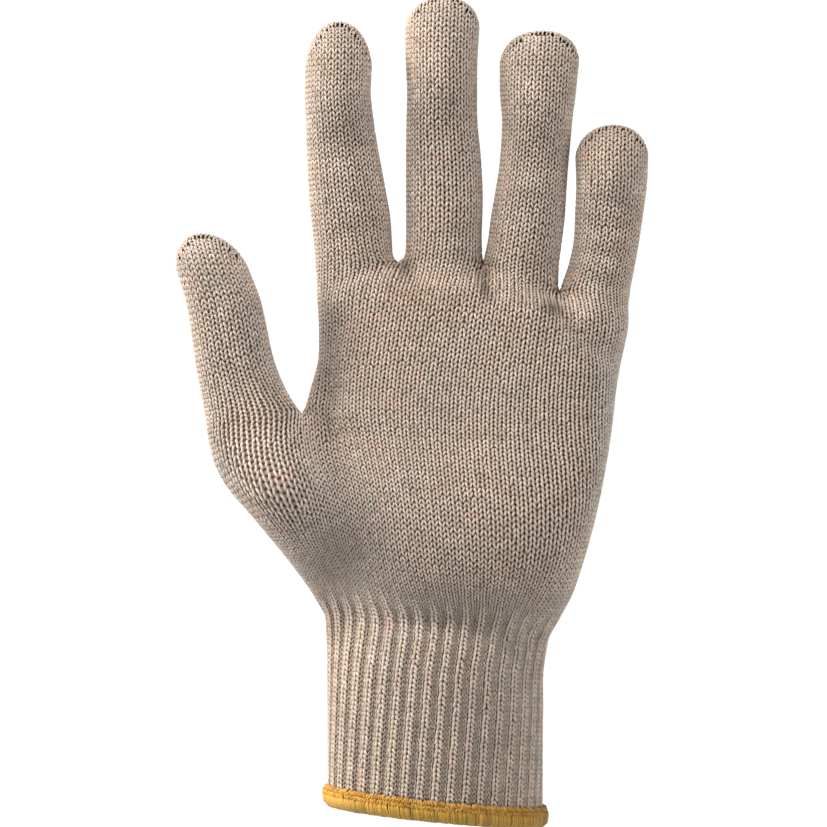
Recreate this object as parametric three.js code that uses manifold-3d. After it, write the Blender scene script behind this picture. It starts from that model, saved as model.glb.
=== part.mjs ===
// A knitted cotton work glove, upright and filled out as when worn, palm towards -Y, fingers up (+Z),
// thumb on the -X side. Millimetres. The origin is the centre of the cuff's mouth, where a wrist goes in.
// The hand is a hollow knitted shell: an outer and an inner family of lofts, one pair for each tube,
// are joined, the inner is taken from the outer, and the shell is parted at the finger roots.
import * as THREE from 'three';
import { mergeVertices } from 'three/addons/utils/BufferGeometryUtils.js';
import Module from 'manifold-3d';

// Driving sizes
const WALL = 1.5;              // thickness of the knitted fabric
const GAP = 0.3;               // clearance between neighbouring pieces
const PALM_LENGTH = 106;       // wrist line to the web between index and middle finger
const PALM_WIDTH = 90;         // across the finger roots
const PALM_DEPTH = 42;         // front to back at the heel of the hand
const INDEX_LENGTH = 73.8;       // root line to fingertip
const MIDDLE_LENGTH = 77.5;
const RING_LENGTH = 73;
const LITTLE_LENGTH = 53;
const THUMB_LENGTH = 59;       // thumb root to thumb tip
const INDEX_WIDTH = 21.4;
const MIDDLE_WIDTH = 21.7;
const RING_WIDTH = 21.3;
const LITTLE_WIDTH = 20.4;
const THUMB_WIDTH = 22;
const FINGER_DEPTH = 19.6;     // front to back of a finger
const THUMB_DEPTH = 20;
const THENAR_DEPTH = 34;       // front to back of the thumb's base
const CUFF_LENGTH = 56;        // mouth to wrist line
const CUFF_WIDTH = 60.4;       // across the hollows between the ribs
const CUFF_DEPTH = 42.6;
const RIB_COUNT = 38;          // ribs round the cuff
const RIB_LEAN = 0.075;        // how far a rib leans sideways, per mm of height
const RIB_HEIGHT = 0.8;        // how far a rib stands out
const HEM_HEIGHT = 5;          // overlocked edge, top to bottom
const HEM_WALL = 1.0;          // yarn outside, inside and under the cuff's edge
const CUFF_SLOPE = -0.1;       // fall of the mouth and wrist line towards the little finger, per mm across
const WRIST_FLARE = 6;         // how late the cuff swells to the wrist's oval, as a power of its height

// Facets round each tube
const SIDES = { finger: 16, thumb: 18, palm: 36, hem: 48, ribPoints: 3 };
const DOME_RINGS = 4;          // rings in a rounded fingertip
const REACH = 400;             // size of the bodies that part the shell, past everything

// The palm, a row for each section: along is a share of PALM_LENGTH, left and right are shares of
// PALM_WIDTH from the cuff's centre line, depth a share of PALM_DEPTH, back a share of PALM_DEPTH by
// which the section sits behind the centre, slope the fall of the section across the hand.
const PALM_SECTIONS = [
  { along: 0.00, left: -0.342, right: 0.372, depth: 1.00, back: 0.00, slope: -0.10 },
  { along: 0.07, left: -0.345, right: 0.430, depth: 1.01, back: -0.015, slope: -0.10 },
  { along: 0.20, left: -0.350, right: 0.484, depth: 1.04, back: -0.06, slope: -0.08 },
  { along: 0.38, left: -0.358, right: 0.532, depth: 0.98, back: -0.07, slope: -0.06 },
  { along: 0.55, left: -0.436, right: 0.565, depth: 0.885, back: -0.05, slope: -0.06 },
  { along: 0.63, left: -0.392, right: 0.572, depth: 0.84, back: -0.04, slope: -0.07 },
  { along: 0.74, left: -0.374, right: 0.588, depth: 0.785, back: -0.025, slope: -0.08 },
  { along: 0.87, left: -0.372, right: 0.606, depth: 0.69, back: -0.01, slope: -0.12 },
  { along: 0.95, left: -0.372, right: 0.606, depth: 0.59, back: 0.02, slope: -0.15 },
  { along: 0.985, left: -0.366, right: 0.596, depth: 0.44, back: 0.04, slope: -0.155 },
];

// The finger roots, a row for each side of a finger: across is a share of PALM_WIDTH, along of
// PALM_LENGTH, lean the sideways slant of the slit between two fingers.
const ROOT_POINTS = [
  { across: -0.480, along: 0.900, lean: -0.06 },
  { across: -0.116, along: 0.985, lean: -0.06 },
  { across: 0.150, along: 0.965, lean: 0.04 },
  { across: 0.390, along: 0.893, lean: 0.115 },
  { across: 0.800, along: 0.815, lean: 0.115 },
];

// The fingers: root centre across is a share of PALM_WIDTH, lean is the sideways slant above the root
// and baseLean below it, curl the share of the length by which the tip comes forward, dome the share of
// the width that the rounded tip takes, blunt how square that tip is (2 is an ellipse).
const FINGERS = [
  { name: 'index_finger', length: INDEX_LENGTH, width: INDEX_WIDTH, across: -0.264, lean: -0.070,
    baseLean: 0, curl: 0.10, dome: 0.60, blunt: 2.0, waist: 0.87 },
  { name: 'middle_finger', length: MIDDLE_LENGTH, width: MIDDLE_WIDTH, across: 0.026, lean: 0.001,
    baseLean: 0, curl: 0.09, dome: 0.42, blunt: 2.2, waist: 0.92 },
  { name: 'ring_finger', length: RING_LENGTH, width: RING_WIDTH, across: 0.276, lean: 0.094,
    baseLean: 0.10, curl: 0.10, dome: 0.40, blunt: 2.2, waist: 0.92 },
  { name: 'little_finger', length: LITTLE_LENGTH, width: LITTLE_WIDTH, across: 0.516, lean: 0.118,
    baseLean: 0.25, curl: 0.11, dome: 0.44, blunt: 2.0, waist: 0.91 },
];

// How a finger swells and narrows, a row for each section: along is a share of its length from the root
// (below 0 inside the palm), width and depth are shares of its own, waist says how much of the finger's
// own waist the section takes.
const FINGER_SECTIONS = [
  { along: -0.30, width: 0.86, depth: 0.80, waist: 0 },
  { along: -0.10, width: 1.00, depth: 0.98, waist: 0 },
  { along: 0.08, width: 1.02, depth: 1.02, waist: 0 },
  { along: 0.24, width: 1.00, depth: 1.04, waist: 0 },
  { along: 0.40, width: 1.00, depth: 1.00, waist: 0.6 },
  { along: 0.56, width: 1.00, depth: 0.96, waist: 1 },
  { along: 0.70, width: 1.00, depth: 0.96, waist: 0.9 },
];
const TIP_WIDTH = 0.97;        // width and depth where the rounded tip starts, shares of the finger's
const TIP_DEPTH = 0.90;

// The thumb and its base in the palm, a row for each section from the heel of the hand to the tip:
// across is a share of PALM_WIDTH, along of PALM_LENGTH, forward of PALM_DEPTH, width of THUMB_WIDTH,
// and depth of the depth that the row names.
const THUMB_ROOT = { across: -0.565, along: 0.505, forward: -0.20 };
const THENAR_SECTIONS = [
  { across: -0.130, along: 0.060, forward: 0.00, width: 1.16, depth: 0.90 },
  { across: -0.215, along: 0.140, forward: -0.03, width: 1.34, depth: 1.00 },
  { across: -0.350, along: 0.280, forward: -0.08, width: 1.37, depth: 1.02 },
  { across: -0.468, along: 0.395, forward: -0.14, width: 1.50, depth: 0.92 },
];
const THUMB_SECTIONS = [
  { along: 0.00, side: 0.00, width: 1.30, depth: 1.22 },
  { along: 0.16, side: -0.005, width: 1.16, depth: 1.10 },
  { along: 0.32, side: 0.005, width: 1.05, depth: 1.02 },
  { along: 0.50, side: 0.020, width: 0.985, depth: 1.00 },
  { along: 0.66, side: 0.024, width: 0.965, depth: 1.00 },
];
const THUMB_LEAN = -0.275;     // sideways slant of the thumb above its root
const THUMB_CURL = 0.13;       // share of its length by which the tip comes forward
const THUMB_DOME = 0.52;

// Slit and root of the thumb: the web beside the palm and the slant of the root line below it
const THUMB_WEB = { across: -0.436, along: 0.572, rise: 0.46, lean: -0.10 };

// Hollows (inward) and pads (negative depth) of the palm's front, a row for each: across is a share of
// PALM_WIDTH, along of PALM_LENGTH, wide and high of PALM_WIDTH, depth of PALM_DEPTH, turn in degrees.
const FRONT_FORMS = [
  { across: -0.300, along: 0.094, wide: 0.190, high: 0.122, depth: 0.120, turn: -24 },
  { across: 0.400, along: 0.050, wide: 0.167, high: 0.111, depth: 0.100, turn: 20 },
  { across: 0.110, along: 0.528, wide: 0.167, high: 0.244, depth: 0.022, turn: 8 },
  { across: -0.344, along: 0.660, wide: 0.040, high: 0.178, depth: 0.052, turn: 0 },
  { across: 0.522, along: 0.320, wide: 0.045, high: 0.289, depth: 0.029, turn: 14 },
  { across: -0.244, along: 0.868, wide: 0.106, high: 0.067, depth: -0.030, turn: 0 },
  { across: 0.022, along: 0.877, wide: 0.111, high: 0.067, depth: -0.030, turn: 0 },
  { across: 0.278, along: 0.830, wide: 0.106, high: 0.067, depth: -0.036, turn: -12 },
  { across: 0.483, along: 0.680, wide: 0.100, high: 0.067, depth: -0.036, turn: -40 },
];
const WRIST_FADE = 0.08;       // share of PALM_LENGTH over which the hollows fade to the wrist's oval

const YARN = { color: 0xcabfb2, roughness: 0.95, metalness: 0 };
const RIB_YARN = { color: 0xd6ccc0, roughness: 0.95, metalness: 0 };
const HEM_YARN = { color: 0xd9a93f, roughness: 0.85, metalness: 0 };

const wasm = await Module();
wasm.setup();

// Solids: geometry to solid and back
function solidOf(geometry) {
  const bare = geometry.clone();
  bare.deleteAttribute('normal');
  bare.deleteAttribute('uv');
  const merged = mergeVertices(bare, 1e-5);
  return new wasm.Manifold(new wasm.Mesh({
    numProp: 3,
    vertProperties: new Float32Array(merged.attributes.position.array),
    triVerts: new Uint32Array(merged.index.array),
  }));
}

function meshOf(name, solid, yarn) {
  const { vertProperties, triVerts } = solid.getMesh();
  const geometry = new THREE.BufferGeometry();
  geometry.setAttribute('position', new THREE.BufferAttribute(new Float32Array(vertProperties), 3));
  geometry.setIndex(new THREE.BufferAttribute(new Uint32Array(triVerts), 1));
  geometry.computeVertexNormals();
  const mesh = new THREE.Mesh(geometry, new THREE.MeshStandardMaterial(yarn));
  mesh.name = name;
  return mesh;
}

// A closed loft through rings of equal length, each an array of Vector3 that runs counterclockwise
// seen from the last ring.
function loft(rings) {
  const sides = rings[0].length;
  const points = rings.flat();
  const faces = [];
  for (let ring = 0; ring < rings.length - 1; ring += 1) {
    for (let side = 0; side < sides; side += 1) {
      const a = ring * sides + side;
      const b = ring * sides + (side + 1) % sides;
      faces.push(a, b, b + sides, a, b + sides, a + sides);
    }
  }
  const last = (rings.length - 1) * sides;
  for (const [first, turn] of [[0, -1], [last, 1]]) {
    const middle = points.length;
    const centre = new THREE.Vector3();
    for (let side = 0; side < sides; side += 1) centre.add(points[first + side]);
    points.push(centre.divideScalar(sides));
    for (let side = 0; side < sides; side += 1) {
      const a = first + side;
      const b = first + (side + 1) % sides;
      faces.push(middle, turn > 0 ? a : b, turn > 0 ? b : a);
    }
  }
  const geometry = new THREE.BufferGeometry().setFromPoints(points);
  geometry.setIndex(faces);
  return geometry;
}

// One oval ring square to an axis: half width across the hand, half depth front to back
function oval(centre, tangent, halfWidth, halfDepth, sides) {
  const across = new THREE.Vector3(tangent.z, 0, -tangent.x).normalize();
  const through = new THREE.Vector3().crossVectors(tangent, across).normalize();
  return Array.from({ length: sides }, (_, side) => {
    const angle = 2 * Math.PI * side / sides;
    return centre.clone()
      .addScaledVector(across, halfWidth * Math.cos(angle))
      .addScaledVector(through, halfDepth * Math.sin(angle));
  });
}

// A tube of oval rings along the sections' centres; inset draws it in by the fabric's wall
function tube(sections, sides, inset) {
  const rings = sections.map((section, index) => {
    const before = sections[Math.max(index - 1, 0)].centre;
    const after = sections[Math.min(index + 1, sections.length - 1)].centre;
    const tangent = after.clone().sub(before).normalize();
    return oval(section.centre, tangent, section.width / 2 - inset, section.depth / 2 - inset, sides);
  });
  return solidOf(loft(rings));
}

// The sections of a rounded, closed tip, from a start point along a direction
function domeSections(start, direction, width, depth, length, blunt, inset) {
  const height = length - inset;
  return Array.from({ length: DOME_RINGS }, (_, index) => {
    const share = Math.sin((index + 1) / (DOME_RINGS + 0.35) * Math.PI / 2);
    const narrow = (1 - share ** blunt) ** (1 / blunt);
    return {
      centre: start.clone().addScaledVector(direction, height * share),
      width: (width - 2 * inset) * narrow + 2 * inset,
      depth: (depth - 2 * inset) * narrow + 2 * inset,
    };
  });
}

// Place of a point of the hand, from shares of the palm's breadth and length
function handPoint(across, along, forward = 0) {
  return new THREE.Vector3(across * PALM_WIDTH, forward * PALM_DEPTH, CUFF_LENGTH + along * PALM_LENGTH);
}

// A finger's root height lies on the line between the two root points beside it
function rootHeight(index) {
  return CUFF_LENGTH + PALM_LENGTH * (ROOT_POINTS[index].along + ROOT_POINTS[index + 1].along) / 2;
}

function fingerSolid(finger, index, inset) {
  const root = new THREE.Vector3(finger.across * PALM_WIDTH, 0.04 * PALM_DEPTH, rootHeight(index));
  const place = along => new THREE.Vector3(
    root.x + (along > 0 ? finger.lean : finger.baseLean) * finger.length * along,
    root.y - finger.curl * finger.length * Math.max(along, 0) ** 2,
    root.z + finger.length * along,
  );
  const dome = finger.dome * finger.width;
  const domeStart = 1 - dome / finger.length;
  const sections = FINGER_SECTIONS.filter(row => row.along < domeStart - 0.06).map(row => ({
    centre: place(row.along),
    width: finger.width * row.width * (1 - row.waist * (1 - finger.waist)),
    depth: FINGER_DEPTH * row.depth,
  }));
  const tipWidth = finger.width * TIP_WIDTH;
  const tipDepth = FINGER_DEPTH * TIP_DEPTH;
  const start = place(domeStart);
  const direction = place(1).sub(start).normalize();
  sections.push({ centre: start, width: tipWidth, depth: tipDepth });
  sections.push(...domeSections(start, direction, tipWidth, tipDepth, dome, finger.blunt, inset));
  return tube(sections, SIDES.finger, inset);
}

function thumbSolid(inset) {
  const root = handPoint(THUMB_ROOT.across, THUMB_ROOT.along, THUMB_ROOT.forward);
  const place = (along, side) => new THREE.Vector3(
    root.x + (THUMB_LEAN * along + side) * THUMB_LENGTH,
    root.y - THUMB_CURL * THUMB_LENGTH * along,
    root.z + THUMB_LENGTH * along,
  );
  const base = THENAR_SECTIONS.map(row => ({
    centre: handPoint(row.across, row.along, row.forward),
    width: THUMB_WIDTH * row.width,
    depth: THENAR_DEPTH * row.depth,
  }));
  const tubeRows = THUMB_SECTIONS.map(row => ({
    centre: place(row.along, row.side),
    width: THUMB_WIDTH * row.width,
    depth: THUMB_DEPTH * row.depth,
  }));
  const dome = THUMB_DOME * THUMB_WIDTH;
  const start = place(1 - dome / THUMB_LENGTH, 0);
  const direction = place(1, 0).sub(start).normalize();
  const tipWidth = THUMB_WIDTH * TIP_WIDTH;
  const tipDepth = THUMB_DEPTH * TIP_DEPTH;
  const tip = [{ centre: start, width: tipWidth, depth: tipDepth },
    ...domeSections(start, direction, tipWidth, tipDepth, dome, 2, inset)];
  return tube([...base, ...tubeRows, ...tip], SIDES.thumb, inset);
}

// How far a point of the palm's front is pressed back by the hollows and pads
function frontPress(x, z) {
  let press = 0;
  for (const form of FRONT_FORMS) {
    const turn = THREE.MathUtils.degToRad(form.turn);
    const centre = handPoint(form.across, form.along);
    const dx = x - centre.x;
    const dz = z - centre.z;
    const u = (dx * Math.cos(turn) + dz * Math.sin(turn)) / (form.wide * PALM_WIDTH);
    const v = (dz * Math.cos(turn) - dx * Math.sin(turn)) / (form.high * PALM_WIDTH);
    press += form.depth * PALM_DEPTH * Math.exp(-(u * u + v * v));
  }
  return press;
}

// One ring of the palm: an oval whose height falls across the hand, pressed in front
function palmRing(section, inset, drop) {
  const left = section.left * PALM_WIDTH;
  const right = section.right * PALM_WIDTH;
  const halfWidth = (right - left) / 2 - inset;
  const halfDepth = section.depth * PALM_DEPTH / 2 - inset;
  const middle = (left + right) / 2;
  return Array.from({ length: SIDES.palm }, (_, side) => {
    const angle = 2 * Math.PI * side / SIDES.palm;
    const x = middle + halfWidth * Math.cos(angle);
    const z = CUFF_LENGTH + section.along * PALM_LENGTH - drop + section.slope * x;
    const front = Math.max(-Math.sin(angle), 0) * THREE.MathUtils.smoothstep(section.along, 0, WRIST_FADE);
    const y = section.back * PALM_DEPTH + halfDepth * Math.sin(angle) + front * frontPress(x, z);
    return new THREE.Vector3(x, y, z);
  });
}

function palmSolid(inset) {
  const last = PALM_SECTIONS.length - 1;
  const rings = PALM_SECTIONS.map((section, index) => {
    const drop = index === 0 ? inset : 0;
    return palmRing(section, inset, index === last ? inset : drop);
  });
  return solidOf(loft(rings));
}

// A body that reaches through the whole depth, from its outline seen from the front
function through(outline) {
  const shape = new THREE.Shape(outline.map(([x, z]) => new THREE.Vector2(x, z)));
  const geometry = new THREE.ExtrudeGeometry(shape, { depth: REACH, bevelEnabled: false });
  geometry.rotateX(Math.PI / 2);
  geometry.translate(0, REACH / 2, 0);
  return solidOf(geometry);
}

// The room of one finger above its root line, drawn in (or, below zero, grown) by a margin all round
function fingerRoom(index, margin) {
  const [left, right] = [ROOT_POINTS[index], ROOT_POINTS[index + 1]];
  const a = handPoint(left.across, left.along);
  const b = handPoint(right.across, right.along);
  return through([
    [a.x + margin, a.z + margin],
    [b.x - margin, b.z + margin],
    [b.x - margin + right.lean * REACH, b.z + REACH],
    [a.x + margin + left.lean * REACH, a.z + REACH],
  ]);
}

function thumbRoom(margin) {
  const web = handPoint(THUMB_WEB.across, THUMB_WEB.along);
  return through([
    [web.x - margin, web.z + margin],
    [web.x - margin + THUMB_WEB.lean * REACH, web.z + REACH],
    [web.x - REACH, web.z + REACH],
    [web.x - REACH, web.z + margin - THUMB_WEB.rise * REACH],
  ]);
}

// The hand: the hollow shell and its parts
const outerHand = [palmSolid(0), thumbSolid(0), ...FINGERS.map((finger, index) => fingerSolid(finger, index, 0))]
  .reduce((joined, solid) => joined.add(solid));
const innerHand = [palmSolid(WALL), thumbSolid(WALL),
  ...FINGERS.map((finger, index) => fingerSolid(finger, index, WALL))]
  .reduce((joined, solid) => joined.add(solid));
const wristCut = through([
  [-REACH, CUFF_LENGTH + GAP - CUFF_SLOPE * REACH],
  [-REACH, -REACH],
  [REACH, -REACH],
  [REACH, CUFF_LENGTH + GAP + CUFF_SLOPE * REACH],
]);
const shell = outerHand.subtract(innerHand).subtract(wristCut);

const half = GAP / 2;
const fingerParts = FINGERS.map((finger, index) => shell.intersect(fingerRoom(index, half)));
const thumbPart = shell.intersect(thumbRoom(half));
const palmPart = [...FINGERS.map((_, index) => fingerRoom(index, -half)), thumbRoom(-half)]
  .reduce((rest, room) => rest.subtract(room), shell);

const group = new THREE.Group();
group.add(meshOf('palm', palmPart, YARN));
group.add(meshOf('thumb', thumbPart, YARN));
FINGERS.forEach((finger, index) => group.add(meshOf(finger.name, fingerParts[index], YARN)));

// The cuff: a ribbed tube. Its rings blend from the mouth's oval to the palm's first section.
const WRIST = PALM_SECTIONS[0];

function cuffOval(share, grow) {
  const wristWidth = (WRIST.right - WRIST.left) * PALM_WIDTH;
  const wristMiddle = (WRIST.right + WRIST.left) / 2 * PALM_WIDTH;
  const ease = share ** WRIST_FLARE;
  return {
    middle: wristMiddle * ease,
    halfWidth: THREE.MathUtils.lerp(CUFF_WIDTH, wristWidth, ease) / 2 + grow,
    halfDepth: THREE.MathUtils.lerp(CUFF_DEPTH, PALM_DEPTH, ease) / 2 + grow,
  };
}

// A ring of the cuff at a height, with the outline pushed out by rise(side) at each point and turned
// round by lean for each mm of height
function cuffRing(height, grow, sides, rise = () => 0, lean = 0) {
  const { middle, halfWidth, halfDepth } = cuffOval(height / CUFF_LENGTH, grow);
  return Array.from({ length: sides }, (_, side) => {
    const angle = 2 * Math.PI * side / sides + lean * height / halfWidth;
    const x = middle + (halfWidth + rise(side)) * Math.cos(angle);
    const y = (halfDepth + rise(side)) * Math.sin(angle);
    return new THREE.Vector3(x, y, height + CUFF_SLOPE * x);
  });
}

const ribSides = RIB_COUNT * SIDES.ribPoints;
const ribRise = side => (side % SIDES.ribPoints === 0 ? RIB_HEIGHT : 0);
const cuffFoot = HEM_WALL + GAP;
const CUFF_LEVELS = [0, 0.45, 0.75, 1];   // shares of the cuff's length above the hem's floor
const cuffHeights = CUFF_LEVELS.map(share => cuffFoot + share * (CUFF_LENGTH - cuffFoot));
const cuffOuter = solidOf(loft(cuffHeights.map(height => cuffRing(height, 0, ribSides, ribRise, RIB_LEAN))));
const boreHeights = [-CUFF_LENGTH * 0.1, ...cuffHeights.slice(1, -1), CUFF_LENGTH * 1.02];
const cuffInner = solidOf(loft(boreHeights.map(height => cuffRing(height, -WALL, SIDES.hem))));
group.add(meshOf('cuff', cuffOuter.subtract(cuffInner), RIB_YARN));

// The hem: a channel of yarn that wraps the cuff's lower edge
const hemOuter = RIB_HEIGHT + GAP + HEM_WALL;
const hemInner = -WALL - GAP - HEM_WALL;
const hemBody = solidOf(loft([0, HEM_HEIGHT].map(height => cuffRing(height, hemOuter, SIDES.hem))));
const hemHole = solidOf(loft([-HEM_HEIGHT, 2 * HEM_HEIGHT].map(height => cuffRing(height, hemInner, SIDES.hem))));
const channelHeights = [HEM_WALL, 2 * HEM_HEIGHT];
const channelOuter = solidOf(loft(channelHeights.map(height => cuffRing(height, RIB_HEIGHT + GAP, SIDES.hem))));
const channelCore = solidOf(loft([0, 3 * HEM_HEIGHT].map(height => cuffRing(height, -WALL - GAP, SIDES.hem))));
const hem = hemBody.subtract(channelOuter.subtract(channelCore)).subtract(hemHole);
group.add(meshOf('hem', hem, HEM_YARN));

export default group;
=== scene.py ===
"""A knitted cotton work glove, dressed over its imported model: real stitches on a lattice of wales and
courses, a ribbed cuff and a yellow overlocked edge. Lengths are in millimetres until a mesh is made."""
import math

import bmesh
import bpy
import numpy as np
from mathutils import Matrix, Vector


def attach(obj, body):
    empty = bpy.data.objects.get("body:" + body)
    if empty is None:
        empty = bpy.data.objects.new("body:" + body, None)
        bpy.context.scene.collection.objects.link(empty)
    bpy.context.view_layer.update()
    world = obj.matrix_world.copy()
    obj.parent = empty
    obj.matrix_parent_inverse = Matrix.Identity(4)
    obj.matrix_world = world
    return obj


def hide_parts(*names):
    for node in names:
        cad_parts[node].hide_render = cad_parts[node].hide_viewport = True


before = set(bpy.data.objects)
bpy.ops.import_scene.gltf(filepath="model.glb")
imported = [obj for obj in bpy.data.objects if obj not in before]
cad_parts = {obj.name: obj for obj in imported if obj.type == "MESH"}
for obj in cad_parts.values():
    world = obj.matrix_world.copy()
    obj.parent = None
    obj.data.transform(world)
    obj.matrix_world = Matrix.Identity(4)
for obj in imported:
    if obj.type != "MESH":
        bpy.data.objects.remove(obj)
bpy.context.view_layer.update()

MM = 0.001
rng = np.random.default_rng(7)

# Knit sizes
COURSE = 1.46                  # height of a stitch on the fingers
YARN_WIDE = 0.152              # half width of a leg of yarn, share of the stitch's width
YARN_TALL = 0.29               # half thickness of a leg of yarn
GROUND_DEPTH = 0.75            # the knit's inner layer below the stitches' middle
GROUND_TOP, GROUND_UNDER = 0.62, 0.95   # its two faces, shares of that depth and of the wall
WALL = 1.5                     # whole fabric
PALM5_COURSES = 48             # wrist to the thumb's crotch
PALM4_COURSES = 33             # thumb's crotch to the finger roots
CUFF_COURSES = 40
RELAX_ROWS = 12                # rows of each finger that settle together with the palm
RELAX_STEPS = 160
RELAX_PULL = 0.85              # how far a node moves at a step, share of the way to its neighbours' middle
FINGERS = ("index", "middle", "ring", "little")
# Wales on the front of each tube: those that run on from the tube below, and those that start at the
# crotches on its left and right
SHARED = {"thumb": 12, "palm4": 45, "index": 11, "middle": 12, "ring": 11, "little": 11}
STARTED = {"thumb": (1, 1), "palm4": (0, 0), "index": (1, 3), "middle": (1, 1), "ring": (2, 2), "little": (2, 1)}
WALES = {name: SHARED[name] + sum(STARTED[name]) for name in SHARED}
THUMB_SHARED = SHARED["thumb"]
HAND_WALES = WALES["palm4"]
ALL_WALES = THUMB_SHARED + SHARED["palm4"]

# Cuff and hem
CUFF_HALF_WIDTH = 30.2
CUFF_HALF_DEPTH = 21.3
CUFF_SLOPE = -0.1              # fall of the mouth towards the little finger, per mm across
WRIST_HEIGHT = 56.5
CUFF_BASE = 1.75               # height of the cuff's lowest course, inside the hem
RIB_EVERY = 3                  # one wale in three is a rib
RIB_SHARE = 0.54               # width of a rib, share of the ribs' spacing
RIB_RISE = 0.30                # how far a rib's stitches stand above the others
RIB_GROOVE = 0.75              # how far the middle between two ribs sinks
RIB_LEAN = 0.075               # how far the ribs lean sideways, per mm of height
RIB_EASE = 0.45                # how much flatter the ribs are towards the little finger
RIB_FADE_ROWS = 9              # rows of the palm over which the ribs die out
WRIST_EASE_ROWS = 6            # rows on both sides of the wrist over which cuff and palm even out
WRIST_EASE_STEPS = 60
EASED_BELOW, EASED_ABOVE = 12, 14       # rows that are then laid back on the surface

# Sections of the hand from the front: height, left edge, right edge, half depth, middle's depth place
PALM_ROWS = [
    (-4.0, -30.8, 30.8, 21.6, 0.0),
    (30.0, -30.9, 30.9, 21.5, 0.0),
    (46.0, -31.0, 31.4, 20.4, 0.2),
    (52.0, -31.1, 32.8, 19.5, 0.5),
    (57.0, -31.3, 35.6, 19.2, 0.4),
    (63.0, -31.6, 38.9, 20.3, -1.0),
    (72.0, -32.2, 42.0, 22.2, -3.2),
    (80.0, -32.6, 44.3, 22.8, -4.3),
    (90.0, -33.0, 46.8, 22.1, -4.3),
    (100.0, -33.4, 48.8, 20.7, -3.5),
    (110.0, -34.8, 50.5, 19.1, -2.3),
    (117.0, -37.6, 51.4, 18.3, -1.9),
    (123.0, -36.3, 52.0, 17.6, -1.6),
    (132.0, -33.9, 53.0, 16.7, -1.2),
    (141.0, -33.3, 54.6, 15.7, -0.9),
    (150.0, -33.1, 56.3, 14.3, -0.4),
    (158.0, -34.0, 57.6, 12.2, 0.6),
    (170.0, -34.6, 58.6, 10.5, 1.2),
]
PALM_SQUARE = 2.5              # how square the palm's sections are, 2 being an oval
# Over what length surfaces flow into each other
TOP_BLEND, WEB_BLEND, FINGER_BLEND, ROOT_BLEND = 6.0, 3.0, 0.8, 5.0
THUMB_BLEND = ([60, 78, 92, 113], [1.0, 6.0, 10.0, 3.0])     # by height
THUMB_ROWS = [
    (50.0, -29.0, 8.0, 12.0, 0.0),
    (58.0, -31.3, 6.0, 14.0, -0.2),
    (63.0, -34.4, 3.0, 15.4, -0.6),
    (71.3, -40.2, -4.0, 16.6, -1.6),
    (80.0, -47.0, -10.0, 17.3, -3.2),
    (88.8, -54.2, -18.0, 17.6, -5.0),
    (95.0, -59.6, -24.0, 17.1, -6.4),
    (101.5, -63.4, -29.5, 15.9, -7.4),
    (108.0, -65.2, -33.8, 14.2, -8.3),
    (117.3, -66.5, -39.6, 12.2, -9.4),
    (124.0, -67.7, -43.6, 10.9, -10.3),
    (132.5, -69.2, -47.0, 10.4, -11.4),
    (141.2, -70.3, -48.9, 10.1, -12.5),
    (150.0, -71.9, -50.9, 9.9, -13.6),
    (158.0, -74.3, -54.0, 9.5, -14.6),
]
FINGER_ROWS = {
    "index": [
        (128.0, -29.0, -16.0, 6.0, 2.0),
        (145.0, -32.0, -13.5, 8.6, 1.9),
        (156.0, -34.2, -12.8, 9.9, 1.8),
        (167.4, -35.2, -13.0, 10.2, 1.6),
        (174.4, -36.0, -13.5, 10.3, 1.2),
        (181.4, -36.6, -14.7, 10.2, 0.7),
        (188.0, -36.9, -15.9, 10.0, 0.1),
        (195.0, -37.2, -17.2, 9.7, -0.8),
        (202.4, -37.4, -18.3, 9.4, -1.9),
        (209.4, -37.7, -19.1, 9.3, -3.1),
        (217.3, -37.5, -18.8, 9.1, -4.6),
    ],
    "middle": [
        (130.0, -4.0, 9.0, 6.0, 2.0),
        (148.0, -7.4, 12.8, 8.8, 1.9),
        (158.0, -8.5, 13.6, 10.0, 1.8),
        (167.0, -8.3, 13.2, 10.3, 1.6),
        (180.0, -8.3, 13.5, 10.4, 0.9),
        (192.0, -8.3, 12.9, 10.0, 0.0),
        (202.0, -8.2, 11.9, 9.6, -1.2),
        (209.4, -8.0, 11.8, 9.5, -2.2),
        (220.0, -8.4, 11.9, 9.4, -4.0),
        (228.2, -8.5, 12.4, 9.2, -5.5),
    ],
    "ring": [
        (126.0, 17.0, 31.0, 6.0, 2.0),
        (144.0, 14.0, 34.4, 8.8, 1.9),
        (154.0, 13.6, 35.4, 10.0, 1.8),
        (160.5, 14.2, 35.7, 10.2, 1.6),
        (167.4, 15.6, 36.6, 10.3, 1.4),
        (174.4, 16.5, 37.4, 10.2, 0.9),
        (181.4, 17.7, 37.8, 10.0, 0.3),
        (188.4, 18.8, 38.3, 9.7, -0.4),
        (195.4, 19.4, 38.9, 9.5, -1.3),
        (202.4, 19.6, 39.5, 9.5, -2.4),
        (209.4, 19.0, 40.4, 9.5, -3.7),
        (218.4, 18.9, 41.3, 9.2, -5.3),
    ],
    "little": [
        (122.0, 37.0, 49.0, 6.0, 2.0),
        (138.0, 36.0, 53.8, 8.2, 1.9),
        (147.0, 35.9, 55.7, 9.3, 1.8),
        (153.5, 36.9, 56.6, 9.7, 1.6),
        (160.5, 39.2, 57.9, 9.7, 1.2),
        (167.4, 40.6, 59.1, 9.5, 0.6),
        (174.4, 40.9, 60.1, 9.3, -0.3),
        (184.9, 41.2, 61.3, 9.2, -2.0),
        (191.3, 40.9, 61.5, 9.0, -3.2),
    ],
}
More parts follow.
